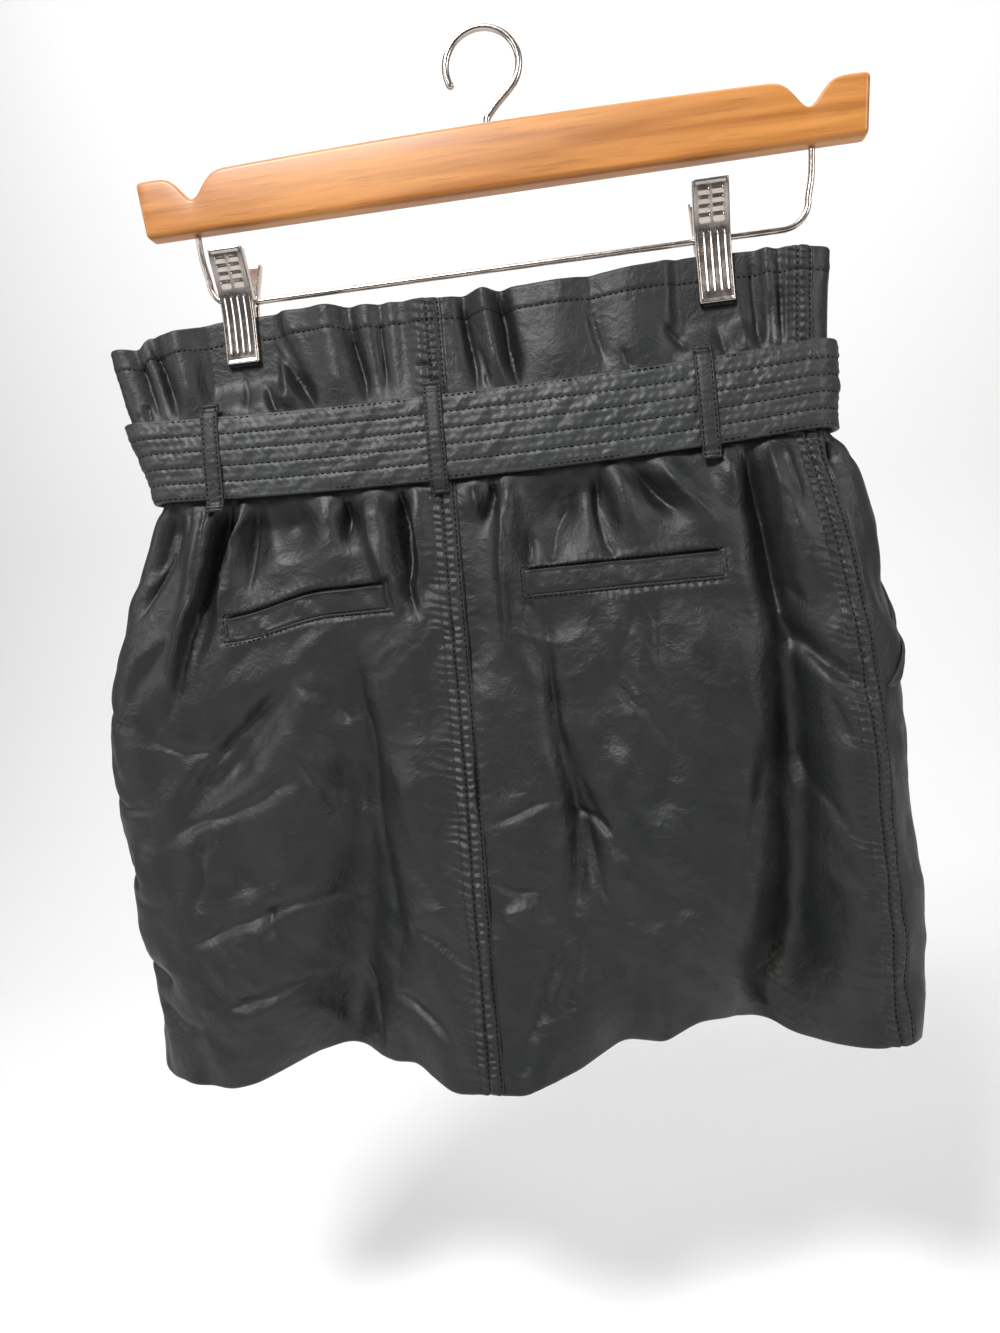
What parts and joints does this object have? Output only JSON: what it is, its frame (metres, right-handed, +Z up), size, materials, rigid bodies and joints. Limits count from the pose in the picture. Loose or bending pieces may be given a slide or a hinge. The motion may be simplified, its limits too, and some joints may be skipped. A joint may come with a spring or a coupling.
{
  "type": "leather mini skirt on a clip hanger",
  "caption": "Short leather skirt with a gathered paperbag waist and stitched belt, hung flat from the clips of a wooden hanger.",
  "frame": {"origin": "top of the hook's inside, where a rail carries the hanger", "axes": "+Z up, +X along the hanger's bar, -Y on the side of the skirt's back"},
  "size_m": [0.4474, 0.1138, 0.5655],
  "materials": {
    "leather": "satin black leather with soft creases",
    "belt_leather": "satin black leather with rows of stitching",
    "chrome": "polished plate",
    "wood": "golden brown, lacquered",
    "rubber": "matte black"
  },
  "bodies": {
    "root": {"back_right": "leather", "front": "leather", "back_left": "leather", "welt_left": "leather", "welt_right": "leather", "pocket_mouth_right": "leather", "pocket_mouth_left": "leather", "belt": "belt_leather", "loop_back_left": "leather", "loop_back_centre": "leather", "loop_back_right": "leather", "loop_front_left": "leather", "loop_front_right": "leather", "hanger_hook": "chrome", "hanger_arm": "wood", "hanger_bar": "chrome", "clip_left_back": "chrome", "clip_left_pad_back": "rubber", "clip_left_front": "chrome", "clip_left_pad_front": "rubber", "clip_left_spring": "chrome", "clip_right_back": "chrome", "clip_right_pad_back": "rubber", "clip_right_front": "chrome", "clip_right_pad_front": "rubber", "clip_right_spring": "chrome"}
  },
  "joints": []
}
